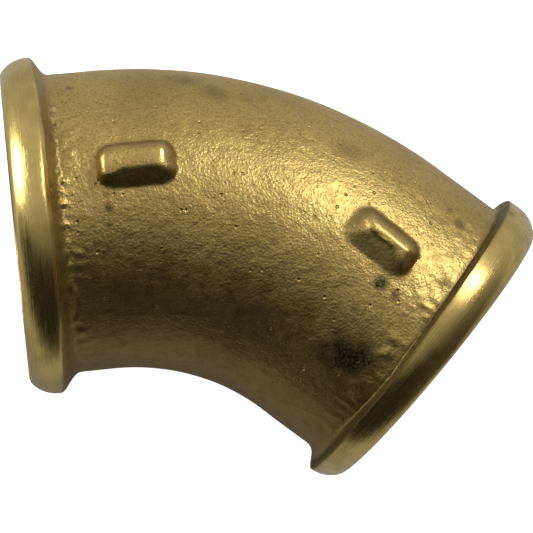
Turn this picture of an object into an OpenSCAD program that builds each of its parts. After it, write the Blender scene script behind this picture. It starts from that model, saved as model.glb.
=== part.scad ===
// 45 degree pipe elbow with a female 3/4 inch parallel pipe thread in each end.
// It is one brass casting: the ends are turned, faced, bored and threaded after casting.
//
// The fitting lies on its side. The origin is the centre of end A's face, +X runs into
// leg A along its axis, leg B turns off towards -Y, and +Z stands square to the bend.
// "Outer" is the long side of the bend, towards +Y on leg A.

/* [Legs] */
// Distance from the crossing of the two leg axes to each end face
leg_length = 25; // [24:0.5:28]
// Angle between the two machined leg axes
bend_angle = 45; // [43:1:50]

/* [Sockets] */
// Minor diameter of the internal thread, which the plain bore wall stands for
thread_minor_d = 24.117; // [23.8:0.01:24.4]
// Depth of the threaded socket from the end face
thread_depth = 14.5; // [12:0.5:15]
// Diameter of the countersink at the end face
mouth_d = 26.6; // [25:0.1:28]

/* [Bands] */
// Diameter of the turned band round each end
band_d = 35.2; // [34:0.1:36]
// Width of the band on end A, from the face to the as-cast shoulder
band_a_w = 3.2; // [2.9:0.1:4]
// Mean width of the band on end B
band_b_w = 3.6; // [3.2:0.1:4.2]
// Length of the rounding from the face to the top of the band
crown_w = 2.9; // [2.5:0.1:2.9]
// Height of the rounding, from its start on the face to the top of the band
crown_h = 1.5; // [1.2:0.05:1.7]

/* [Cast body] */
// Outer diameter of the tubular body
body_d = 31.4; // [31:0.1:32]
// Radius of the body's centre line through the bend
bend_r = 37.5; // [34:0.5:40]
// Radius of the concave shoulder between the body and each band
shoulder_r = 2.2; // [2:0.1:2.6]
// Diameter of the cored passage behind the threads
core_d = 22.6; // [21:0.1:22.8]
// How many degrees the cast leg B stands off its machined axis
cast_lean = 2.8; // [0:0.1:3.5]

/* [Lugs] */
// Length of each raised lug along its leg
lug_l = 8; // [6:0.5:8.5]
// Width of each lug at its foot
lug_w = 4.6; // [3:0.1:5]
// Width of each lug's flat top
lug_top_w = 2.6; // [1.5:0.1:3]
// Distance from the end face to the near end of each lug
lug_start = 8.6; // [8:0.1:10]
// Distance of each lug from the leg's axis, towards the outer side of the bend
lug_offset = 3.8; // [3:0.1:5]
// Height of each lug's top over the plane that both leg axes lie in
lug_top = 16.9; // [16.5:0.1:17.2]
// Corner radius of each lug in plan
lug_corner_r = 1.3; // [0.8:0.1:1.4]

/* [Hidden] */
$fn = 96;
brass = [0.78, 0.66, 0.36];

band_r = band_d / 2;
body_r = body_d / 2;
core_r = core_d / 2;
bore_r = thread_minor_d / 2;
mouth_depth = (mouth_d - thread_minor_d) / 2;
crown_r = (crown_w * crown_w + crown_h * crown_h) / (2 * crown_h);

// How far neighbouring outlines dip into each other so that they cross cleanly
dip = 0.04;

// Centre of the shoulder's arc, and how far the shoulder reaches along the leg
shoulder_c = body_r + shoulder_r - dip;
shoulder_w = sqrt(shoulder_r * shoulder_r - pow(shoulder_c - band_r, 2));

// Metal that the casting has spare at each end, and how far cutting tools run past it
stock = 1.5;
overrun = 3;

// The bend laps over the straight runs a little, and each curve stands a hair proud of the
// straight that it runs into
lap = 0.5;
proud = 0.02;

// The cast leg B swings about a point on its machined axis, at the foot of its shoulder
pivot_u = band_b_w + shoulder_w;
cast_angle = bend_angle - cast_lean;
pivot_leg = leg_length - pivot_u;
cast_pivot_leg = pivot_leg * sin(bend_angle) / sin(cast_angle);
cast_cross = leg_length + pivot_leg * cos(bend_angle) - cast_pivot_leg * cos(cast_angle);
cast_leg_b = cast_pivot_leg + pivot_u;
bend_tangent = bend_r * tan(cast_angle / 2);

// The foot of each lug, inside the wall of the body
lug_foot = 13.5;

// Places children drawn on leg A (face at x = 0, inward along +X) on machined leg B
module on_leg_b() {
    translate([leg_length, 0, 0])
        rotate([0, 0, -bend_angle])
            mirror([1, 0, 0])
                translate([-leg_length, 0, 0]) children();
}

// The same for the as-cast leg B, whose axis leans a little off the machined one
module on_cast_leg_b() {
    translate([cast_cross, 0, 0])
        rotate([0, 0, -cast_angle])
            mirror([1, 0, 0])
                translate([-cast_leg_b, 0, 0]) children();
}

// Revolves a profile drawn as (radius, distance from the face) about the X axis
module about_leg() {
    rotate([0, 90, 0]) rotate_extrude() children();
}

// A round bar or hole along the cast path: straight, bend, straight
module cast_path(r, ends) {
    straight_a = cast_cross - bend_tangent;
    straight_b = cast_leg_b - bend_tangent;
    lap_angle = lap / bend_r * 180 / PI;
    translate([-ends, 0, 0]) rotate([0, 90, 0]) cylinder(r = r, h = straight_a + ends);
    translate([straight_a, -bend_r, 0])
        rotate([0, 0, 90 - cast_angle - lap_angle])
            rotate_extrude(angle = cast_angle + 2 * lap_angle)
                translate([bend_r, 0]) circle(r = r + proud);
    on_cast_leg_b()
        translate([-ends, 0, 0]) rotate([0, 90, 0]) cylinder(r = r, h = straight_b + ends);
}

// The rough collar that the band is turned from, with its concave shoulder. It stands
// proud of the finished band, so that turning alone sets the band's size.
module cast_collar(band_w) {
    wall = band_w + shoulder_w - shoulder_r;
    about_leg() {
        translate([0, -stock]) square([band_r + stock, wall + stock]);
        difference() {
            square([shoulder_c, band_w + shoulder_w]);
            translate([shoulder_c, band_w + shoulder_w]) circle(r = shoulder_r);
        }
    }
}

// One lug on leg A: a bar with sloping sides, standing up from the body
module lug() {
    translate([lug_start, 0, 0])
        intersection() {
            rotate([90, 0, 90])
                linear_extrude(lug_l)
                    polygon([
                        [lug_offset - lug_w / 2, lug_foot],
                        [lug_offset + lug_w / 2, lug_foot],
                        [lug_offset + lug_top_w / 2, lug_top],
                        [lug_offset - lug_top_w / 2, lug_top]
                    ]);
            translate([0, lug_offset - lug_w / 2, lug_foot])
                linear_extrude(lug_top)
                    rounded_bar(lug_l, lug_w, lug_corner_r);
        }
}

module rounded_bar(length, width, corner_r) {
    translate([corner_r, 0]) square([length - 2 * corner_r, width]);
    translate([0, corner_r]) square([length, width - 2 * corner_r]);
    for (x = [corner_r, length - corner_r])
        for (y = [corner_r, width - corner_r])
            translate([x, y]) circle(r = corner_r);
}

// Everything that comes out of the mould: body, collars, and a lug on each side of each leg
module rough_casting() {
    cast_path(body_r, stock);
    cast_collar(band_a_w);
    on_cast_leg_b() cast_collar(band_b_w);
    for (side = [0, 1])
        mirror([0, 0, side]) {
            lug();
            on_leg_b() lug();
        }
}

// What turning takes off leg A: the face, the band's diameter and its rounded crown
module turning(band_w) {
    run = band_w + shoulder_w;
    about_leg()
        difference() {
            translate([0, -overrun]) square([band_r + overrun, run + overrun]);
            square([band_r - crown_h - dip, run]);
            translate([0, crown_w]) square([band_r, run]);
            intersection() {
                square([band_r, crown_w]);
                translate([band_r - crown_r, crown_w]) circle(r = crown_r + proud);
            }
        }
}

// The socket of leg A: a bore at the thread's minor diameter, with a countersunk mouth
module socket() {
    rotate([0, 90, 0]) cylinder(r = bore_r, h = thread_depth);
    rotate([0, 90, 0]) cylinder(r1 = mouth_d / 2, r2 = bore_r, h = mouth_depth);
}

module elbow_casting() {
    color(brass)
        difference() {
            rough_casting();
            cast_path(core_r, overrun);
            turning(band_a_w);
            on_leg_b() turning(band_b_w);
            socket();
            on_leg_b() socket();
        }
}

elbow_casting();
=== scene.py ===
"""Looks of a cast brass 45 degree pipe elbow: one detailed mesh over the CAD casting.

Shapes are worked out in millimetres in the CAD frame and scaled to metres at the end.
The frame: end A's face centre is the origin, +X runs into leg A, leg B turns off
towards -Y, and +Z is square to the bend. Angle 0 round a leg is the outer side of the
bend, 90 is +Z, 180 the inner side and 270 is -Z.
"""

import math

import bmesh
import bpy
import numpy as np
from mathutils import Matrix, Vector, noise


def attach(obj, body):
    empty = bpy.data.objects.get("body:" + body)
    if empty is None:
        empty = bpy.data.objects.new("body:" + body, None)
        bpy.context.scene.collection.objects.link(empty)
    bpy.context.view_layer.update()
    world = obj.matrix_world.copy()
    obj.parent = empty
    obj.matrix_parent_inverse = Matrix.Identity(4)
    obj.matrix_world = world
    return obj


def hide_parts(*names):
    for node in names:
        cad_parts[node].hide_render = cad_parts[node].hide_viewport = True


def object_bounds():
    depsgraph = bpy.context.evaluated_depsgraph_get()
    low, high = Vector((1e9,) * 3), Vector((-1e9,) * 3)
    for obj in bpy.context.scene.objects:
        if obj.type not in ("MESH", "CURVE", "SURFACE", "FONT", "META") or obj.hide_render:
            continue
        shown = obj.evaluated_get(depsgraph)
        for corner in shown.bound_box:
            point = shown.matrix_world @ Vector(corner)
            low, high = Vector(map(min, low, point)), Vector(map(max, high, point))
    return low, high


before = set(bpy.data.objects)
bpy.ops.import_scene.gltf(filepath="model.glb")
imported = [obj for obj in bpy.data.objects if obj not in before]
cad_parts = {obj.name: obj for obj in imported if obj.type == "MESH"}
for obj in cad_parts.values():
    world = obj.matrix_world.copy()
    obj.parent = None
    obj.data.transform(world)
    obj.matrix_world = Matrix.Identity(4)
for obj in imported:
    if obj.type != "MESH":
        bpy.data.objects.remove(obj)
CAD_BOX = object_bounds()
CAD_HEIGHT = CAD_BOX[1][2] - CAD_BOX[0][2]

MM = 0.001

# Fitting (mm), close to the CAD model. The cast leg B leans about a point PIVOT_U from face B.
LEG = 25.0
BEND = math.radians(45)
CAST_LEAN = math.radians(2.8)
PIVOT_U = 5.3
BEND_R = 37.5
BODY_R = 15.72
BAND_R = 17.59
BAND_W = {"a": 3.15, "b": 3.55}
CROWN_W, CROWN_H = 2.9, 1.5
CROWN_R = (CROWN_W**2 + CROWN_H**2) / (2 * CROWN_H)

# Socket and thread (mm): 3/4 inch, 14 per inch, 55 degree form
MINOR_R, MAJOR_R = 12.0585, 13.2205
PITCH = 1.8143
FLANK = math.radians(27.5)
TIP_R = 0.137329 * PITCH
SOCKET = 14.5
RUN_OUT_START, RUN_OUT_END = SOCKET - 2.6, SOCKET - 0.5
MOUTH_R = 13.3
CORE_R = 11.3

# Fine shapes (mm): the rounding at the edge of the face, how far the band falls away behind its
# crown, and how much narrower the body is next to end A and in the middle
CORNER = 0.3
BAND_FALL = 0.06
NECK = 0.12
WAIST = 0.06

# The cast edge beside each band wanders in waves: their size and height (mm), and how far their
# seed is from the end's own one. They are taken on a ring of this radius (mm).
WAVES = ((1.3, 0.16, 0), (0.45, 0.08, 5))
WAVE_RING = 3.0
WAVE_SEED = {"a": 1, "b": 2}

# Any distance (mm) that is well beyond the edge of the turned finish
FAR = 4.0

# Sand-cast unevenness: size of the features, height everywhere, more height on the flanks (mm)
SKIN = ((3.6, 0.035, 0.0), (1.5, 0.010, 0.022), (0.75, 0.006, 0.019))
CORE = ((3.0, 0.06, 0.0), (1.2, 0.05, 0.0))
SKIN_SEED, CORE_SEED = 3, 7
CRUMB_SIZE, CRUMB_HEIGHT, CRUMB_SEED = 0.7, 0.34, 6

# Dirt and dark skin: leg, distance from its face (mm), angle round it, radius (mm), darkness
STAINS = (
    ("b", 8.1, 118, 4.1, 0.9),
    ("b", 6.8, 115, 2.8, 0.7),
    ("b", 9.8, 121, 3.0, 0.65),
    ("b", 10.0, 89, 1.2, 0.85),
    ("b", 8.4, 89, 0.9, 0.7),
    ("b", 6.9, 48, 0.9, 0.55),
    ("b", 8.5, 44, 0.7, 0.45),
    ("b", 8.5, 53, 0.6, 0.4),
    ("b", 4.9, 74, 0.8, 0.8),
    ("b", 3.1, 30, 0.9, 0.5),
    ("b", 1.6, 98, 1.0, 0.4),
    ("a", 6.9, 34, 0.6, 0.55),
    ("a", 7.1, 118, 0.8, 0.6),
    ("a", 4.6, 119, 1.0, 0.7),
    ("a", 9.3, 86, 0.5, 0.7),
    ("a", 9.4, 91, 0.6, 0.8),
    ("a", 9.2, 97, 0.5, 0.7),
    # The next four make the skin darker in a band along the top of the body
    ("a", 18.8, 30, 2.6, 0.35),
    ("a", 21.6, 40, 2.6, 0.45),
    ("a", 25.3, 46, 2.6, 0.45),
    ("b", 20.5, 50, 2.6, 0.35),
    ("b", 19.3, 83, 0.45, 1.0),
)

# Places that are rubbed bright, in the same form. They are on the lugs, this far off the body.
WORN = (
    ("a", 15.1, 75, 1.4, 0.9),
    ("a", 9.5, 76, 0.9, 0.5),
    ("b", 10.8, 74, 1.1, 0.5),
)
WORN_LIFT = 1.6

# The edges of all these marks are ragged: by what share of the radius, size (mm) and seed
RAGGED_SHARE, RAGGED_SIZE, RAGGED_SEED = 0.3, 1.3, 9

# Painted shade: how dark it is in the corner beside each band and how wide it lies there (mm),
# then how dark it is round the lugs. Last, how much darker the inner side of the bend is.
CORNER_SHADE = {"a": 0.35, "b": 0.7}
CORNER_SHADE_REACH = {"a": 1.7, "b": 0.8}
LUG_SHADE = 0.4
INNER_DARKENING = 0.4

# Lugs (mm): the height of the crest over the plane of the bend and its distance off the leg's
# axis, then the place seen from above. inner and outer are the sides' distances off that axis,
# towards the outside of the bend. The walls are how wide the slope of each side is: inner,
# outer, the end near the face and the far end. The inner one is a bevel and the others are
# rounded over, the more so the higher the rounding is.
LUGS = {
    "a": dict(
        crest=16.9,
        crest_offset=3.4,
        plan=dict(start=8.6, length=8.0, inner=1.6, outer=6.2),
        walls=(1.9, 1.1, 0.9, 2.2),
        rounding=2.6,
    ),
    "b": dict(
        crest=16.6,
        crest_offset=3.9,
        plan=dict(start=8.7, length=7.9, inner=1.35, outer=5.8),
        walls=(2.7, 1.7, 1.6, 3.3),
        rounding=1.7,
    ),
}

# All lugs: corner radius in plan (mm), how wide the change from side wall to end wall is (mm),
# how the top falls away past its crest, and the bevel's own rounding
LUG_CORNER = 1.7
LUG_BLEND = 1.6
LUG_FALL = 0.10
BEVEL = 1.2

# Mesh density
COLUMNS = 384
BORE_COLUMNS = 128
CORNER_ROWS = 3
CROWN_ROWS = 12
SHOULDER_ROWS = 13
BODY_ROWS = 120
CORE_ROWS = 26

# Where the mesh is denser for the lugs: their angle round each leg, and the stretches of the
# body that they take up, as fractions of its length
LUG_ANGLE = math.radians(76)
LUG_STATIONS = ((0.06, 0.36), (0.62, 0.92))

# Edges that fold more than this are shaded sharp
SHARP_FOLD = math.radians(48)

# What the material reads at each point, besides where it is on the lathe: distance inside the
# turned finish (mm), coarseness of the cast skin, darkening from stains and painted shade, and how far it
# is rubbed bright
MARKS = ("turned", "grain", "dirt", "worn")


# ---------------------------------------------------------------- small maths

def smooth(edge0, edge1, x):
    """0 below edge0, 1 above edge1 and a smooth step between them."""
    t = np.clip((np.asarray(x, float) - edge0) / (edge1 - edge0), 0.0, 1.0)
    return t * t * (3.0 - 2.0 * t)


def noise_at(points, size, seed):
    """Smooth noise of about -1..1 at each point, with features of the given size in mm."""
    shift = Vector((seed * 17.3, seed * -9.1, seed * 5.7))
    flat = points.reshape(-1, 3) / size
    values = [noise.noise(Vector(p) + shift) for p in flat]
    return np.array(values).reshape(points.shape[:-1])


def unevenness(points, layers, first_seed, coarse=0.0):
    """Layers of noise, each of them a feature size, a height and more height where coarse."""
    total = 0.0
    for seed, (size, height, more) in enumerate(layers, first_seed):
        total = total + (height + more * coarse) * noise_at(points, size, seed)
    return total


def spaced(shares, fine, density):
    """Values out of fine at these shares of the way, closer together where it is dense."""
    total = np.concatenate([[0], np.cumsum((density[1:] + density[:-1]) / 2)])
    return np.interp(shares * total[-1], total, fine)


# ---------------------------------------------------------------- frames and path

UP = np.array([0.0, 0.0, 1.0])
CAST_BEND = BEND - CAST_LEAN


class Leg:
    """A straight run seen from its end: u is the distance in from the face."""

    def __init__(self, face, inward, outer):
        self.face, self.inward, self.outer = (np.array(v, float) for v in (face, inward, outer))

    def at(self, u, r, angle):
        u, r, angle = np.broadcast_arrays(u, r, angle)
        ring = np.cos(angle)[..., None] * self.outer + np.sin(angle)[..., None] * UP
        return self.face + u[..., None] * self.inward + r[..., None] * ring

    def measure(self, points):
        """(u, radius, angle) of each point."""
        d = points - self.face
        across, up = d @ self.outer, d @ UP
        return d @ self.inward, np.hypot(across, up), np.arctan2(up, across)


def direction(angle):
    """Unit vector that leaves the bend at this angle below +X."""
    return np.array([math.cos(angle), -math.sin(angle), 0.0])


def outer_side(angle):
    """Unit vector towards the outside of the bend, square to that direction."""
    return np.array([math.sin(angle), math.cos(angle), 0.0])


CROSSING = np.array([LEG, 0.0, 0.0])
END_A = Leg((0, 0, 0), (1, 0, 0), (0, 1, 0))
END_B = Leg(CROSSING + LEG * direction(BEND), -direction(BEND), outer_side(BEND))
PIVOT = END_B.face + PIVOT_U * END_B.inward
CAST_B = Leg(PIVOT + PIVOT_U * direction(CAST_BEND), -direction(CAST_BEND), outer_side(CAST_BEND))

# Each end's machined leg and cast leg
ENDS = {"a": (END_A, END_A), "b": (END_B, CAST_B)}

# The cast centre line: straight, bend, straight
CAST_CROSS = PIVOT[0] + PIVOT[1] / math.tan(CAST_BEND)
BEND_TANGENT = BEND_R * math.tan(CAST_BEND / 2)
BEND_START = CAST_CROSS - BEND_TANGENT
BEND_END = BEND_START + BEND_R * CAST_BEND
CAST_LENGTH = BEND_END + np.linalg.norm(CAST_B.face - np.array([CAST_CROSS, 0, 0])) - BEND_TANGENT


def on_path(s, r, angle):
    """Point at radius r round the cast centre line, s mm along it from end A."""
    s, r, angle = np.broadcast_arrays(s, r, angle)
    turn = np.clip((s - BEND_START) / BEND_R, 0.0, CAST_BEND)
    tangent = np.stack([np.cos(turn), -np.sin(turn), 0 * turn], -1)
    outer = np.stack([np.sin(turn), np.cos(turn), 0 * turn], -1)
    centre = np.array([BEND_START, -BEND_R, 0.0]) + BEND_R * outer
    straight = s - BEND_START - BEND_R * turn
    ring = np.cos(angle)[..., None] * outer + np.sin(angle)[..., None] * UP
    return centre + straight[..., None] * tangent + r[..., None] * ring


# ---------------------------------------------------------------- outer skin

def outer_angles():
    """Column angles, closer together where the lugs are."""
    fine = np.linspace(0, 2 * math.pi, 4001)
    from_lug = np.minimum(np.abs(fine - LUG_ANGLE), np.abs(fine - (2 * math.pi - LUG_ANGLE)))
    density = 1.0 + 0.45 * (1 - smooth(math.radians(14), math.radians(26), from_lug))
    return spaced(np.arange(COLUMNS) / COLUMNS, fine, density)


def body_stations():
    """Fractions along the body between the shoulder feet, closer together at the lugs."""
    fine = np.linspace(0, 1, 2001)
    density = np.ones(len(fine))
    for start, end in LUG_STATIONS:
        density += 0.5 * (smooth(start, start + 0.04, fine) - smooth(end, end + 0.04, fine))
    return spaced(np.arange(1, BODY_ROWS) / BODY_ROWS, fine, density)


def turned_radius(u):
    """Radius of the turned band at u: a rounded crown up from the face, then barely falling."""
    to_top = np.maximum(CROWN_W - u, 0.0)
    past_top = np.maximum(u - CROWN_W, 0.0)
    return BAND_R - CROWN_R + np.sqrt(CROWN_R**2 - to_top**2) - BAND_FALL * past_top**2


def shoulder_width(end, angle):
    """End A's shoulder is nearly even. End B's is tight outside the bend and wide inside it."""
    if end == "a":
        return 2.2 - 0.25 * np.cos(angle)
    inner = 0.5 - 0.5 * np.cos(angle)
    return 0.5 + 0.3 * np.maximum(np.cos(angle), 0) ** 4 + 2.1 * inner**12


def shoulder_share(end, angle, q):
    """Height left at a share q of the way down the shoulder: a rounded edge, then a fillet."""
    if end == "a":
        return (1 - q ** (1.75 + 0.1 * np.sin(angle) ** 2)) ** 3.0
    inner = 0.5 - 0.5 * np.cos(angle)
    return (1 - q ** (1.8 - 0.5 * inner)) ** (2.6 + 1.5 * inner)


def finish_reach(end, angle):
    """How far in mm the turned finish goes down the shoulder: furthest on end A's flanks."""
    return 0.1 + 0.5 * np.sin(angle) ** 2 if end == "a" else -0.04 + 0 * angle


def band_edge_wave(end, angle):
    """How far the as-cast shoulder's edge wanders along the band, in mm."""
    ring = WAVE_RING * np.stack([np.cos(angle), np.sin(angle), 0 * angle], -1)
    seed = WAVE_SEED[end]
    return sum(height * noise_at(ring, size, seed + step) for size, height, step in WAVES)


def band_edge(end, angle):
    """Distance from the face, on the machined leg, at which the cast shoulder takes over."""
    machined, cast = ENDS[end]
    edge_u = BAND_W[end] + 0 * angle
    target = BAND_W[end] + band_edge_wave(end, angle)
    for _ in range(6):
        u_cast, _, _ = cast.measure(machined.at(edge_u, turned_radius(edge_u), angle))
        edge_u = edge_u + (target - u_cast)
    return edge_u


def band_rows(end, angle):
    """Rows from the face to the foot of the shoulder.

    Returns (rows, roughness, turned, along, foot, foot_angle). Roughness is 0 on turned metal and
    1 on the as-cast skin; turned is the distance in mm to where the turned finish ends.
    """
    machined, cast = ENDS[end]
    edge_u = band_edge(end, angle)
    width = shoulder_width(end, angle)
    finish_edge = finish_reach(end, angle)
    rows, along = [], []
    for t in np.linspace(0, 1, CORNER_ROWS + 1)[:-1]:
        u = CORNER * t * t
        face_r, crown_r = turned_radius(0.0), turned_radius(CORNER)
        r = (1 - t) ** 2 * (face_r - CORNER) + 2 * t * (1 - t) * face_r + t * t * crown_r
        rows.append(machined.at(u, r, angle))
        along.append(u + 0 * edge_u)
    for t in np.linspace(0, 1, CROWN_ROWS + 1):
        u = CORNER + (edge_u - CORNER) * t
        rows.append(machined.at(u, turned_radius(u), angle))
        along.append(u)
    rough = [0.0] * len(rows)
    turned = [edge_u - u + finish_edge for u in along]
    u0, r_top, cast_angle = cast.measure(rows[-1])
    cast_angle = np.unwrap(cast_angle)
    cast_angle += 2 * math.pi * np.round((angle[0] - cast_angle[0]) / (2 * math.pi))
    foot_r = BODY_R - (NECK if end == "a" else 0.0)
    for q in np.linspace(0, 1, SHOULDER_ROWS + 1)[1:]:
        r = foot_r + (r_top - foot_r) * shoulder_share(end, angle, q)
        rows.append(cast.at(u0 + width * q, r, cast_angle))
        rough.append(float(smooth(0.1, 0.6, q)))
        turned.append(finish_edge - width * q)
        along.append(edge_u + width * q)
    return rows, rough, turned, along, u0 + width, cast_angle


def outer_grid(angle):
    """The whole outside from face to face: rows, and their roughness, turned and along marks."""
    rows_a, rough_a, turned_a, along_a, foot_a, angle_a = band_rows("a", angle)
    rows_b, rough_b, turned_b, along_b, foot_b, angle_b = band_rows("b", angle)
    s_a, s_b = foot_a, CAST_LENGTH - foot_b
    body, body_turned = [], []
    for t in body_stations():
        s = s_a + (s_b - s_a) * t
        r = BODY_R - NECK * (1 - smooth(0.0, 0.35, t)) - WAIST * np.sin(math.pi * t)
        body.append(on_path(s, r, angle_a + (angle_b - angle_a) * t))
        body_turned.append(np.maximum(turned_a[-1] - (s - s_a), turned_b[-1] - (s_b - s)))
    plain = [0 * angle] * len(body)
    return (
        np.array(rows_a + body + rows_b[::-1]),
        np.array(rough_a + [1.0] * len(body) + rough_b[::-1]),
        np.clip(np.array(turned_a + body_turned + turned_b[::-1]), -FAR, FAR),
        np.array(along_a + plain + along_b[::-1]),
    )


# ---------------------------------------------------------------- lugs

def lug_rise(points, leg, plan, walls, rounding):
    """How far one lug has risen at each point: 0 beside it, 1 on its top."""
    d = points - leg.face
    u, across = d @ leg.inward, d @ leg.outer
    near, far = u - plan["start"], plan["start"] + plan["length"] - u
    below, above = across - plan["inner"], plan["outer"] - across
    dx, dy = LUG_CORNER - np.minimum(near, far), LUG_CORNER - np.minimum(below, above)
    depth = LUG_CORNER - np.hypot(np.maximum(dx, 0), np.maximum(dy, 0)) - np.minimum(np.maximum(dx, dy), 0)
    end = smooth(-LUG_BLEND / 2, LUG_BLEND / 2, dx - dy)
    side_wall = np.where(below < above, walls[0], walls[1])
    end_wall = np.where(near < far, walls[2], walls[3])
    wall = side_wall + (end_wall - side_wall) * end
    curve = BEVEL + (rounding - BEVEL) * np.where(below < above, end, 1.0)
    return 1 - np.clip(1 - depth / wall, 0, 1) ** curve


def raise_lugs(grid):
    """Two lugs on each side of the fitting, one on each leg. Also returns where they are."""
    out = grid.copy()
    on_lug = np.zeros(grid.shape[:-1])
    for side in (1.0, -1.0):
        for end, lug in LUGS.items():
            leg = ENDS[end][0]
            level = side * grid[..., 2]
            past_crest = np.maximum((grid - leg.face) @ leg.outer - lug["crest_offset"], 0.0)
            top = lug["crest"] - LUG_FALL * past_crest**2
            rise = lug_rise(grid, leg, lug["plan"], lug["walls"], lug["rounding"])
            rise = np.where(level > 0, rise, 0.0)
            out[..., 2] += side * np.maximum(top - level, 0.0) * rise
            on_lug = np.maximum(on_lug, rise)
    return out, on_lug


# ---------------------------------------------------------------- cast surface

def grid_normals(grid):
    """Outward unit normals of a grid of rows that close round the columns."""
    along = np.gradient(grid, axis=0)
    round_it = np.roll(grid, -1, axis=1) - np.roll(grid, 1, axis=1)
    n = np.cross(round_it, along)
    return n / np.maximum(np.linalg.norm(n, axis=-1, keepdims=True), 1e-9)


def coarseness(normals, on_lug):
    """0 where the mould left a fine skin, near the parting plane, to 1 on the two broad flanks."""
    flank = smooth(0.2, 0.85, np.abs(normals[..., 2]))
    return flank * (1 - 0.45 * smooth(0.0, 0.3, on_lug))


def cast_skin(grid, rough, turned, on_lug):
    """Moves the as-cast rows in and out along their normals. Also returns the coarseness."""
    normals = grid_normals(grid)
    coarse = coarseness(normals, on_lug)
    bumps = unevenness(grid, SKIN, SKIN_SEED, coarse)
    beside_band = smooth(-3.6, -2.2, turned) * (1 - smooth(-1.0, -0.5, turned))
    crumbs = np.maximum(noise_at(grid, CRUMB_SIZE, CRUMB_SEED), 0.0)
    bumps += CRUMB_HEIGHT * beside_band * coarse * crumbs
    return grid + (rough[:, None] * bumps)[..., None] * normals, coarse


def cast_core(grid):
    """The cored passage is left rough, a little coarser than the outside."""
    row = np.arange(len(grid))
    inside = smooth(0, 3, row) * smooth(0, 3, row[::-1])
    bumps = unevenness(grid, CORE, CORE_SEED)
    return grid + (inside[:, None] * bumps)[..., None] * grid_normals(grid)


def marked(points, places, lift=0.0):
    """How strong the marks at these places are at each point, 0 to 1."""
    mark = np.zeros(points.shape[:-1])
    ragged = RAGGED_SHARE * noise_at(points, RAGGED_SIZE, RAGGED_SEED)
    for end, u, angle, radius, strength in places:
        skin_r = BAND_R if u < BAND_W[end] else BODY_R
        centre = ENDS[end][1].at(u, skin_r + lift, math.radians(angle))
        near = 1 - smooth(0.2, 1.0, np.linalg.norm(points - centre, axis=-1) / radius + ragged)
        mark = np.maximum(mark, strength * near)
    return mark


def dirt_on(grid, angle, rough, turned, on_lug):
    """The stains, painted shade beside the bands and round the lugs, and a darker inner side of the bend.
    """
    at_end_a = grid[..., 0] < LEG
    # Painted shade in the corner beside each band, this wide
    reach = np.where(at_end_a, CORNER_SHADE_REACH["a"], CORNER_SHADE_REACH["b"])
    beside_band = smooth(-1.0, -0.5, turned / reach) * (1 - smooth(-0.12, 0.05, turned))
    # Painted shade on the walls round the foot of each lug
    lug_foot = smooth(0.0, 0.08, on_lug) * (1 - smooth(0.35, 0.8, on_lug))
    # Darker towards the inner side of the bend, on the as-cast skin
    inner_side = smooth(0.1, 0.9, -np.cos(angle)) * rough[:, None]
    dirt = marked(grid, STAINS)
    dirt = np.maximum(dirt, np.where(at_end_a, CORNER_SHADE["a"], CORNER_SHADE["b"]) * beside_band)
    dirt = np.maximum(dirt, LUG_SHADE * lug_foot)
    return np.maximum(dirt, INNER_DARKENING * inner_side)


# ---------------------------------------------------------------- threaded sockets

# Rows across one pitch, from one thread root to the next: the roots, crests and flank ends
THREAD_ROWS = (0.0, 0.07, 0.1218, 0.378, 0.43, 0.5, 0.57, 0.622, 0.878, 0.93)

# Rows this near the face or the blind end (mm) merge with it
THREAD_MARGIN = 0.02


def thread_radius(u, phase):
    """Radius of the threaded wall: rounded 55 degree form that runs out at the blind end."""
    x = np.abs((u / PITCH - phase + 0.5) % 1.0 - 0.5) * PITCH
    from_crest = PITCH / 2 - x
    r = (MINOR_R + MAJOR_R) / 2 + (PITCH / 4 - x) / math.tan(FLANK)
    root = MAJOR_R - TIP_R + np.sqrt(np.maximum(TIP_R**2 - x * x, 0))
    crest = MINOR_R + TIP_R - np.sqrt(np.maximum(TIP_R**2 - from_crest * from_crest, 0))
    reach = TIP_R * math.cos(FLANK)
    r = np.where(x < reach, root, np.where(from_crest < reach, crest, r))
    return MINOR_R + (r - MINOR_R) * (1 - smooth(RUN_OUT_START, RUN_OUT_END, u))


def threaded_socket(mesh, leg, angle):
    """Adds the threaded wall of one leg. Returns its ring at the mouth and at the blind end.

    Each row follows the helix, so one turn on it has climbed by one pitch.
    """
    hand = 1 if np.cross(leg.outer, UP) @ leg.inward > 0 else -1
    turn = hand * angle / (2 * math.pi)
    pitches = int(math.ceil(SOCKET / PITCH)) + 1
    starts = [n + f for n in range(-1, pitches + 1) for f in THREAD_ROWS]
    u = (np.array(starts)[:, None] + turn[None, :]) * PITCH
    inside = (u > THREAD_MARGIN) & (u < SOCKET - THREAD_MARGIN)
    radius = np.maximum(thread_radius(u, turn[None, :]), MOUTH_R - u)
    face_depth = MOUTH_R - turned_radius(0.0)
    mouth = mesh.add(leg.at(0.0, MOUTH_R, angle), lathe=(angle, face_depth), turned=1.0)
    mesh.crisp.append(mouth)
    blind = mesh.add(leg.at(SOCKET, MINOR_R, angle), lathe=(angle, SOCKET), turned=1.0)
    columns = np.broadcast_to(np.arange(len(angle)), u.shape)
    ids = np.where(u <= THREAD_MARGIN, mouth[columns], blind[columns])
    ids[inside] = mesh.add(
        leg.at(u, radius, angle[None, :])[inside],
        lathe=(np.broadcast_to(angle, u.shape)[inside], u[inside]),
        turned=1.0,
    )
    last = len(ids) - 1
    for row in range(last):
        for column in range(len(angle)):
            right = (column + 1) % len(angle)
            climb = hand * len(THREAD_ROWS) if right == 0 else 0
            near, far = (min(max(row + climb + i, 0), last) for i in (0, 1))
            mesh.face(ids[row, column], ids[row + 1, column], ids[far, right], ids[near, right])
    return mouth, blind


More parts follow.
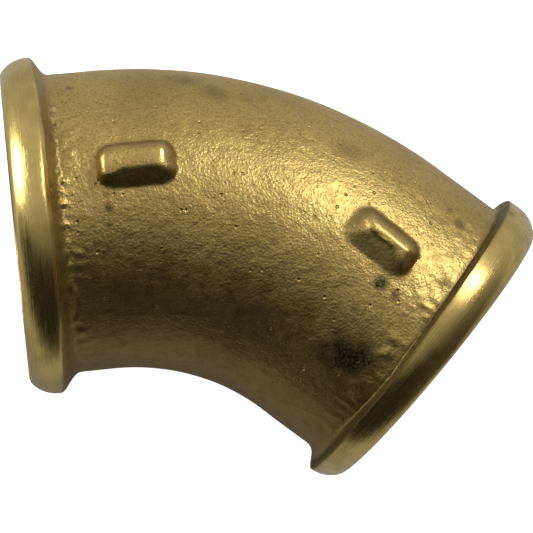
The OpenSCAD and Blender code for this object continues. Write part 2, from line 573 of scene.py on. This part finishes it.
def passage(angle):
    """Rows of the cored water way between the two blind ends."""
    s_a, s_b = SOCKET + 0 * angle, CAST_LENGTH - SOCKET + 0 * angle
    for _ in range(8):
        s_a = s_a + (SOCKET - END_A.measure(on_path(s_a, CORE_R, angle))[0])
        s_b = s_b - (SOCKET - END_B.measure(on_path(s_b, CORE_R, angle))[0])
    shares = np.linspace(0, 1, CORE_ROWS)
    return np.array([on_path(s_a + (s_b - s_a) * t, CORE_R, angle) for t in shares])


# ---------------------------------------------------------------- mesh assembly

class MeshBuilder:
    """Collects points, faces, the marks that the material reads, and rings to shade sharp."""

    def __init__(self):
        self.points, self.faces, self.count = [], [], 0
        self.marks = {name: [] for name in MARKS}
        self.lathe, self.crisp = [], []

    def add(self, points, lathe, **marks):
        """Adds points. Returns their numbers in the points' own shape.

        lathe is (angle round the leg, mm along it). Marks that aren't given are 0.
        """
        shape = points.shape[:-1]
        number = int(np.prod(shape))
        angle, along = (np.broadcast_to(v, shape).ravel() for v in lathe)
        self.points.append(points.reshape(-1, 3))
        self.lathe.append(np.stack([np.cos(angle), np.sin(angle), along], -1))
        for name in MARKS:
            self.marks[name].append(np.broadcast_to(marks.get(name, 0.0), shape).ravel())
        ids = np.arange(self.count, self.count + number).reshape(shape)
        self.count += number
        return ids

    def face(self, *corners):
        """Adds a face, dropping corners that coincide."""
        kept = [c for i, c in enumerate(corners) if c != corners[i - 1]]
        if len(set(kept)) >= 3:
            self.faces.append([int(c) for c in kept])

    def grid(self, ids):
        """Quads between rows that close round the columns."""
        right = np.roll(ids, -1, axis=1)
        quads = np.stack([ids[:-1], ids[1:], right[1:], right[:-1]], -1).reshape(-1, 4)
        self.faces += quads.tolist()

    def bridge(self, ring_a, angle_a, ring_b, angle_b):
        """Triangles between two closed rings with different numbers of points."""
        i = j = 0
        full = 2 * math.pi
        while i < len(ring_a) or j < len(ring_b):
            next_a = angle_a[(i + 1) % len(ring_a)] + full * ((i + 1) // len(ring_a))
            next_b = angle_b[(j + 1) % len(ring_b)] + full * ((j + 1) // len(ring_b))
            a, b = ring_a[i % len(ring_a)], ring_b[j % len(ring_b)]
            if j >= len(ring_b) or (i < len(ring_a) and next_a <= next_b):
                self.face(a, ring_a[(i + 1) % len(ring_a)], b)
                i += 1
            else:
                self.face(a, ring_b[(j + 1) % len(ring_b)], b)
                j += 1

    def build(self, name):
        """The finished object, in metres, in the scene."""
        mesh = bpy.data.meshes.new(name)
        points = np.concatenate(self.points) * MM
        mesh.from_pydata(points.tolist(), [], self.faces)
        for key, rows in self.marks.items():
            layer = mesh.attributes.new(key, "FLOAT", "POINT")
            layer.data.foreach_set("value", np.concatenate(rows))
        layer = mesh.attributes.new("lathe", "FLOAT_VECTOR", "POINT")
        layer.data.foreach_set("vector", np.concatenate(self.lathe).ravel())
        turn_outward(mesh)
        shade(mesh, np.concatenate(self.crisp))
        obj = bpy.data.objects.new(name, mesh)
        bpy.context.scene.collection.objects.link(obj)
        return obj


def turn_outward(mesh):
    """Makes all the faces point out of the metal."""
    bm = bmesh.new()
    bm.from_mesh(mesh)
    bmesh.ops.recalc_face_normals(bm, faces=bm.faces)
    bm.to_mesh(mesh)
    bm.free()


def shade(mesh, crisp):
    """Smooth shading, but sharp at strong folds and along the crisp points' own edges."""
    mesh.shade_smooth()
    mesh.set_sharp_from_angle(angle=SHARP_FOLD)
    ends = np.empty(2 * len(mesh.edges), int)
    mesh.edges.foreach_get("vertices", ends)
    sharp = np.empty(len(mesh.edges), bool)
    layer = mesh.attributes["sharp_edge"].data
    layer.foreach_get("value", sharp)
    sharp |= np.isin(ends.reshape(-1, 2), crisp).all(axis=1)
    layer.foreach_set("value", sharp)


def elbow():
    """The whole casting as one closed mesh."""
    mesh = MeshBuilder()
    angle = outer_angles()
    grid, rough, turned, along = outer_grid(angle)
    grid, on_lug = raise_lugs(grid)
    uneven_grid, coarse = cast_skin(grid, rough, turned, on_lug)
    skin = mesh.add(
        uneven_grid,
        lathe=(angle[None, :], along),
        turned=turned,
        grain=coarse,
        dirt=dirt_on(grid, angle, rough, turned, on_lug),
        worn=marked(grid, WORN, WORN_LIFT),
    )
    mesh.grid(skin)
    bore_angle = np.arange(BORE_COLUMNS) / BORE_COLUMNS * 2 * math.pi
    core_grid = cast_core(passage(bore_angle))
    core = mesh.add(core_grid, lathe=(bore_angle[None, :], 0.0), turned=-FAR, grain=1.0)
    mesh.grid(core)
    for leg, skin_end, core_end in ((END_A, skin[0], core[0]), (END_B, skin[-1], core[-1])):
        mouth, blind = threaded_socket(mesh, leg, bore_angle)
        mesh.bridge(skin_end, angle, mouth, bore_angle)
        mesh.grid(np.array([blind, core_end]))
    return mesh.build("elbow")


# ---------------------------------------------------------------- shader trees

# Input sockets for the two values, and output socket, of a mix node of each kind
MIX_SOCKETS = {"FLOAT": (2, 3, 0), "VECTOR": (4, 5, 1), "RGBA": (6, 7, 2)}


class Nodes:
    """Short hand for building a shader tree."""

    def __init__(self, tree):
        self.tree = tree
        tree.nodes.clear()

    def add(self, kind, **settings):
        node = self.tree.nodes.new(kind)
        for key, value in settings.items():
            if key in node.inputs:
                self.put(node.inputs[key], value)
            else:
                setattr(node, key, value)
        return node

    def put(self, socket, value):
        if isinstance(value, bpy.types.NodeSocket):
            self.tree.links.new(value, socket)
        else:
            socket.default_value = value

    def attribute(self, name, output="Fac"):
        return self.add("ShaderNodeAttribute", attribute_name=name).outputs[output]

    def math(self, operation, a, b=0.0, clamp=False):
        node = self.add("ShaderNodeMath", operation=operation, use_clamp=clamp)
        self.put(node.inputs[0], a)
        self.put(node.inputs[1], b)
        return node.outputs[0]

    def noise(self, vector, scale, detail=2.0, roughness=0.5):
        node = self.add("ShaderNodeTexNoise", Scale=scale, Detail=detail, Roughness=roughness)
        self.put(node.inputs["Vector"], vector)
        return node.outputs["Fac"]

    def cells(self, vector, scale):
        node = self.add("ShaderNodeTexVoronoi", Scale=scale)
        self.put(node.inputs["Vector"], vector)
        return node.outputs

    def ramp(self, value, low, high, to_low=0.0, to_high=1.0, kind="SMOOTHSTEP"):
        node = self.add("ShaderNodeMapRange", interpolation_type=kind)
        ends = {"Value": value, "From Min": low, "From Max": high, "To Min": to_low, "To Max": to_high}
        for key, end in ends.items():
            self.put(node.inputs[key], end)
        return node.outputs["Result"]

    def mix(self, share, a, b, kind="RGBA"):
        first, second, result = MIX_SOCKETS[kind]
        node = self.add("ShaderNodeMix", data_type=kind)
        for socket, value in ((0, share), (first, a), (second, b)):
            self.put(node.inputs[socket], value)
        return node.outputs[result]

    def scaled(self, vector, scale):
        node = self.add("ShaderNodeVectorMath", operation="MULTIPLY")
        self.put(node.inputs[0], vector)
        node.inputs[1].default_value = scale
        return node.outputs[0]

    def dot(self, vector, way):
        node = self.add("ShaderNodeVectorMath", operation="DOT_PRODUCT")
        self.put(node.inputs[0], vector)
        node.inputs[1].default_value = way
        return node.outputs["Value"]

    def bump(self, height, millimetres, strength=1.0, normal=None):
        node = self.add("ShaderNodeBump", Distance=millimetres * MM)
        self.put(node.inputs["Strength"], strength)
        self.put(node.inputs["Height"], height)
        if normal is not None:
            self.put(node.inputs["Normal"], normal)
        return node.outputs["Normal"]


def per_mm(features):
    """Noise scale that gives this many features a millimetre."""
    return features / MM


# ---------------------------------------------------------------- brass

CAST_BROWN = (0.47, 0.335, 0.110, 1)
CAST_YELLOW = (0.60, 0.435, 0.145, 1)
CAST_MOTTLE = (0.30, 0.20, 0.07, 1)
CAST_SPECK = (0.24, 0.165, 0.055, 1)
PIT_SHADE = (0.12, 0.08, 0.03, 1)
TURNED_BRIGHT = (0.66, 0.49, 0.17, 1)
TURNED_DULL = (0.52, 0.38, 0.13, 1)
TOOL_MARK = (0.36, 0.25, 0.09, 1)
# Dark colour for real stains, and for painted shade beside the bands and round the lugs
DIRT_AND_SHADE = (0.035, 0.027, 0.014, 1)

# Heights of the finest relief (mm)
LUMPS, SAND, GRIT, PITS, TOOL_RINGS = 0.08, 0.024, 0.022, 0.09, 0.026

# How fine the tool marks are: along each axis of a unit ring round the leg, and a mm along it
TOOL_MARK_SCALE = (2.2, 2.2, 8.0)


def cast_finish(n, place, mottling, specks):
    """As-cast skin: mottled, dull, and rough with sand grain and a few pits."""
    patches = n.noise(place, per_mm(0.10), 3.0, 0.6)
    colour = n.mix(n.ramp(patches, 0.35, 0.65), CAST_BROWN, CAST_YELLOW)
    colour = n.mix(n.ramp(mottling, 0.55, 0.75, 0.0, 0.45), colour, CAST_MOTTLE)
    colour = n.mix(n.ramp(specks, 0.46, 0.70, 0.0, 0.7), colour, CAST_SPECK)
    rough = n.ramp(mottling, 0.3, 0.7, 0.37, 0.48)

    grain = n.attribute("grain")

    def by_grain(least):
        return n.ramp(grain, 0.0, 1.0, least, 1.0)

    lumps = n.noise(place, per_mm(1.3), 2.0, 0.6)
    sand = n.cells(place, per_mm(4.0))["Distance"]
    grit = n.noise(place, per_mm(5.5), 2.0, 0.7)
    normal = n.bump(lumps, LUMPS, by_grain(0.15))
    normal = n.bump(sand, SAND, by_grain(0.25), normal)
    normal = n.bump(grit, GRIT, by_grain(0.4), normal)

    cell = n.cells(place, per_mm(0.9))
    chosen = n.ramp(cell["Color"], 0.68, 0.72)
    pit = n.math("MULTIPLY", chosen, n.ramp(cell["Distance"], 0.06, 0.22, 1.0, 0.0))
    pit = n.math("MULTIPLY", pit, by_grain(0.1))
    normal = n.bump(n.math("SUBTRACT", 1.0, pit), PITS, 1.0, normal)
    colour = n.mix(n.math("MULTIPLY", pit, 0.35), colour, PIT_SHADE)
    return colour, rough, normal


def turned_finish(n, place):
    """Turned metal: bright, with rings of fine tool marks round the leg's axis."""
    rings = n.noise(n.scaled(n.attribute("lathe", "Vector"), TOOL_MARK_SCALE), 1.0, 4.0, 0.7)
    scuffs = n.noise(place, per_mm(0.35), 4.0, 0.6)
    colour = n.mix(n.ramp(scuffs, 0.4, 0.7), TURNED_BRIGHT, TURNED_DULL)
    colour = n.mix(n.ramp(rings, 0.5, 0.75, 0.0, 0.35), colour, TOOL_MARK)
    rough = n.math("ADD", n.ramp(scuffs, 0.3, 0.7, 0.14, 0.24), n.ramp(rings, 0.35, 0.65, 0.0, 0.12))
    return colour, rough, n.bump(rings, TOOL_RINGS)


def brass_material():
    """Cast brass, grainy and dull, with bright turned metal where the lathe cut it."""
    material = bpy.data.materials.new("cast_brass")
    material.use_nodes = True
    n = Nodes(material.node_tree)
    place = n.add("ShaderNodeTexCoord").outputs["Object"]
    mottling = n.noise(place, per_mm(0.8), 3.0, 0.6)
    specks = n.noise(place, per_mm(3.6), 3.0, 0.7)
    cast_colour, cast_rough, cast_normal = cast_finish(n, place, mottling, specks)
    turned_colour, turned_rough, turned_normal = turned_finish(n, place)

    wander = n.ramp(mottling, 0.0, 1.0, -0.12, 0.12, "LINEAR")
    share = n.ramp(n.math("ADD", n.attribute("turned"), wander), -0.04, 0.04)
    share = n.math("MAXIMUM", share, n.attribute("worn"))
    # Darkens with real stains, painted shade beside the bands and round the lugs, and the darker inner
    # side of the bend
    dirt = n.math("MULTIPLY", n.attribute("dirt"), n.ramp(specks, 0.30, 0.62, 1.4, 0.8), clamp=True)
    colour = n.mix(dirt, n.mix(share, cast_colour, turned_colour), DIRT_AND_SHADE)
    rough = n.mix(share, cast_rough, turned_rough, "FLOAT")
    rough = n.math("ADD", rough, n.math("MULTIPLY", dirt, 0.12))
    normal = n.mix(share, cast_normal, turned_normal, "VECTOR")

    shader = n.add("ShaderNodeBsdfPrincipled", Metallic=1.0)
    n.put(shader.inputs["Base Color"], colour)
    n.put(shader.inputs["Roughness"], rough)
    n.put(shader.inputs["Normal"], normal)
    n.put(n.add("ShaderNodeOutputMaterial").inputs["Surface"], shader.outputs[0])
    return material


# ---------------------------------------------------------------- studio

# Every direction here is as the camera sees it: right, up, towards the camera

# Camera: roll, tilt and pan (degrees), shift of its aim and distance from the fitting (mm), and
# the lens and sensor (mm)
CAMERA_ANGLES = (6.047, -3.659, 5.510)
CAMERA_AIM = (1.548, -6.453)
CAMERA_DISTANCE = 286.6
CAMERA_LENS = 183.839
SENSOR = 36.0

# Lamps: direction, width and height (m), radiance. All are this far (m) from the fitting.
LAMPS = {
    "right_lamp": ((0.58, 0.56, 0.59), 0.155, 0.155, 10.8),
    "left_lamp": ((-0.925, 0.318, 0.208), 0.18, 0.24, 10.0),
}
LAMP_DISTANCE = 0.45

# Surroundings: dark on the photographer's side and grey beyond the object. The grey comes up
# along WALL_WAY, between these two parts of a unit step that way.
NEAR_WALL = (0.07, 0.062, 0.05, 1)
FAR_WALL = (0.64, 0.64, 0.63, 1)
WALL_WAY = (-0.35, 0.94, 0)
WALL_RISE = (-0.75, 0.6)

# A darker area round the lower left: the centres of the patches that make it up, and the
# angles from a centre at which a patch starts and is full
DARK = (0.025, 0.024, 0.022, 1)
DARK_SIDES = ((0.0, -0.82, 0.57), (-0.46, -0.74, 0.49), (-0.78, -0.56, 0.28))
DARK_REACH = (math.radians(44), math.radians(26))

# Table: half its side (m), and its colours in light and shade. It comes out of the shade along
# SHADE_WAY, between these two distances (mm) from end A.
TABLE_HALF = 2.0
TABLE_LIGHT = (0.64, 0.64, 0.63, 1)
TABLE_SHADE = (0.05, 0.048, 0.042, 1)
SHADE_WAY = (-0.3, 0.95, 0)
SHADE_END = (-170, -110)


def camera_turn():
    """World to camera rotation: a view from above, with the fitting turned a little."""
    roll, tilt, pan = (math.radians(v) for v in CAMERA_ANGLES)
    return Matrix.Rotation(roll, 3, "Z") @ Matrix.Rotation(tilt, 3, "X") @ Matrix.Rotation(pan, 3, "Y")


def seen_from_camera(way):
    """World vector of one that is given as right, up and towards the camera."""
    return camera_turn().transposed() @ Vector(way)


def studio_camera():
    """The scene's camera, above the fitting and looking down at it."""
    data =bpy.data.cameras.new("camera")
    data.sensor_width = SENSOR
    data.lens = CAMERA_LENS
    data.clip_start, data.clip_end = 0.01, 20.0
    camera = bpy.data.objects.new("camera", data)
    bpy.context.scene.collection.objects.link(camera)
    spot = seen_from_camera((*CAMERA_AIM, CAMERA_DISTANCE)) + Vector(CROSSING)
    camera.matrix_world = Matrix.Translation(spot * MM) @ camera_turn().transposed().to_4x4()
    bpy.context.scene.camera = camera


def softbox(name, seen, width, height, radiance):
    """Lamp in a direction given as the camera sees it, aimed at the fitting."""
    away = seen_from_camera(Vector(seen).normalized())
    data = bpy.data.lights.new(name, "AREA")
    data.shape = "RECTANGLE"
    data.size, data.size_y = width, height
    data.energy = radiance * math.pi * width * height
    lamp = bpy.data.objects.new(name, data)
    bpy.context.scene.collection.objects.link(lamp)
    lamp.location = Vector(CROSSING) * MM + away * LAMP_DISTANCE
    lamp.rotation_mode = "QUATERNION"
    lamp.rotation_quaternion = away.to_track_quat("Z", "Y")
    lamp.visible_camera = False


def studio_world():
    """The surroundings that the metal reflects, and a white backdrop for the camera."""
    world = bpy.data.worlds.new("studio")
    bpy.context.scene.world = world
    world.use_nodes = True
    n = Nodes(world.node_tree)
    way = n.add("ShaderNodeTexCoord").outputs["Generated"]

    def towards(seen):
        return n.dot(way, seen_from_camera(Vector(seen).normalized()))

    walls = n.mix(n.ramp(towards(WALL_WAY), *WALL_RISE), NEAR_WALL, FAR_WALL)
    dark = 0.0
    for seen in DARK_SIDES:
        patch = n.ramp(towards(seen), math.cos(DARK_REACH[0]), math.cos(DARK_REACH[1]))
        dark = n.math("MAXIMUM", dark, patch)
    surroundings = n.add("ShaderNodeBackground", Color=n.mix(dark, walls, DARK), Strength=1.0)
    backdrop = n.add("ShaderNodeBackground", Color=(1.0, 1.0, 1.0, 1), Strength=1.0)
    pick = n.add("ShaderNodeMixShader")
    n.put(pick.inputs[0], n.add("ShaderNodeLightPath").outputs["Is Camera Ray"])
    n.put(pick.inputs[1], surroundings.outputs[0])
    n.put(pick.inputs[2], backdrop.outputs[0])
    n.put(n.add("ShaderNodeOutputWorld").inputs["Surface"], pick.outputs[0])


def floor_material():
    """Pale and lit for the camera. The fitting sees it end in shade on the near side."""
    material = bpy.data.materials.new("pale_floor")
    material.use_nodes = True
    n = Nodes(material.node_tree)
    beyond = n.dot(n.add("ShaderNodeTexCoord").outputs["Object"], seen_from_camera(SHADE_WAY))
    lit = n.ramp(beyond, SHADE_END[0] * MM, SHADE_END[1] * MM)
    shader = n.add("ShaderNodeBsdfPrincipled", Roughness=0.9)
    n.put(shader.inputs["Base Color"], n.mix(lit, TABLE_SHADE, TABLE_LIGHT))
    shader.inputs["Emission Color"].default_value = (1, 1, 1, 1)
    n.put(shader.inputs["Emission Strength"], n.add("ShaderNodeLightPath").outputs["Is Camera Ray"])
    n.put(n.add("ShaderNodeOutputMaterial").inputs["Surface"], shader.outputs[0])
    return material


def floor():
    """Plain table that the fitting lies on."""
    height = -CAD_HEIGHT / 2
    corners = [(x * TABLE_HALF, y * TABLE_HALF, height) for x, y in ((-1, -1), (1, -1), (1, 1), (-1, 1))]
    mesh = bpy.data.meshes.new("floor")
    mesh.from_pydata(corners, [], [(0, 1, 2, 3)])
    mesh.materials.append(floor_material())
    obj = bpy.data.objects.new("floor", mesh)
    bpy.context.scene.collection.objects.link(obj)


# ---------------------------------------------------------------- scene

piece = elbow()
piece.data.materials.append(brass_material())
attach(piece, "root")
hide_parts("elbow_casting")

floor()
studio_world()
for lamp_name, lamp_settings in LAMPS.items():
    softbox(lamp_name, *lamp_settings)
studio_camera()
bpy.context.scene.view_settings.view_transform = "Standard"
